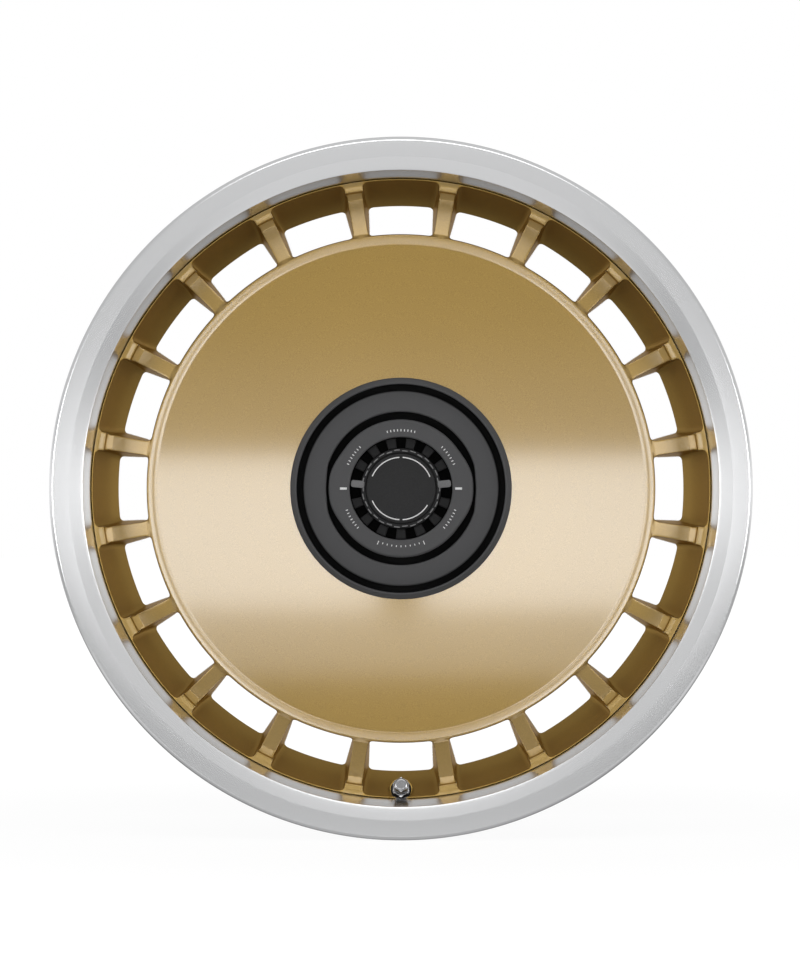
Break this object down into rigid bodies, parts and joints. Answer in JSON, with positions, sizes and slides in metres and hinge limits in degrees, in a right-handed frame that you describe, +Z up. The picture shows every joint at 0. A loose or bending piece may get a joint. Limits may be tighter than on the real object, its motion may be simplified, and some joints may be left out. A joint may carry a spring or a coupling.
{
  "type": "racing wheel rim",
  "caption": "Forged racing wheel rim: bright turned rim shell, gold disc centre with short milled spokes at its edge, dark centre cover with a turning lock nut, and a capped tyre valve.",
  "frame": {"origin": "on the wheel axis, midway between the two flange faces", "axes": "+Y along the wheel axis towards the car, street side facing -Y, +Z up with the tyre valve at the bottom"},
  "size_m": [0.4716, 0.228, 0.4716],
  "materials": {
    "bright_alloy": "bright diamond-turned alloy",
    "gold_alloy": "satin metallic gold paint",
    "bolt_steel": "plain steel",
    "spring_steel": "spring steel",
    "orange_plastic": "moulded plastic",
    "charcoal_cover": "satin charcoal",
    "charcoal_nut": "satin charcoal",
    "black_crown": "black",
    "pale_tab": "mid grey",
    "badge_plastic": "dark grey",
    "valve_silver": "bright anodised",
    "valve_rubber": "black rubber",
    "valve_brass": "plain brass"
  },
  "bodies": {
    "wheel": {"assembly_bolt_01": "bolt_steel", "assembly_bolt_02": "bolt_steel", "assembly_bolt_03": "bolt_steel", "assembly_bolt_04": "bolt_steel", "assembly_bolt_05": "bolt_steel", "assembly_bolt_06": "bolt_steel", "assembly_bolt_07": "bolt_steel", "assembly_bolt_08": "bolt_steel", "assembly_bolt_09": "bolt_steel", "assembly_bolt_10": "bolt_steel", "assembly_bolt_11": "bolt_steel", "assembly_bolt_12": "bolt_steel", "assembly_bolt_13": "bolt_steel", "assembly_bolt_14": "bolt_steel", "assembly_bolt_15": "bolt_steel", "assembly_bolt_16": "bolt_steel", "assembly_bolt_17": "bolt_steel", "assembly_bolt_18": "bolt_steel", "assembly_bolt_19": "bolt_steel", "assembly_bolt_20": "bolt_steel", "cover_dish": "charcoal_cover", "cover_snap_ring": "spring_steel", "rim_shell": "bright_alloy", "spigot_ring": "orange_plastic", "valve_core": "valve_brass", "valve_grommet": "valve_rubber", "valve_nut": "valve_silver", "valve_seal": "valve_rubber", "valve_stem": "valve_silver", "wheel_centre": "gold_alloy"},
    "lock_nut": {"lock_nut": "charcoal_nut", "nut_circlip": "spring_steel", "lock_crown": "black_crown", "lock_tab_left": "pale_tab", "lock_tab_right": "pale_tab", "badge_disc": "badge_plastic"},
    "valve_pin": {"valve_pin": "valve_brass"},
    "valve_cap_seal": {"valve_cap_seal": "valve_rubber"},
    "valve_cap": {"valve_cap": "valve_silver"}
  },
  "joints": [
    {"name": "lock_nut_turn", "type": "hinge", "parent": "wheel", "child": "lock_nut", "pos_m": [0, 0, 0], "axis": [0, -1, 0], "range_deg": [0, 60]},
    {"name": "valve_pin_press", "type": "slide", "parent": "wheel", "child": "valve_pin", "axis": [0, 0.9703, -0.2419], "range_m": [0, 0.0012]},
    {"name": "valve_cap_lift", "type": "slide", "parent": "wheel", "child": "valve_cap_seal", "axis": [0, -0.9703, 0.2419], "range_m": [0, 0.00635]},
    {"name": "valve_cap_turn", "type": "hinge", "parent": "valve_cap_seal", "child": "valve_cap", "pos_m": [0, -0.0851, -0.2015], "axis": [0, -0.9703, 0.2419], "range_deg": [0, 2880]}
  ],
  "couplings": [
    {"joint": "valve_cap_turn", "follows": "valve_cap_lift", "rad_per_m": 7913.3}
  ]
}
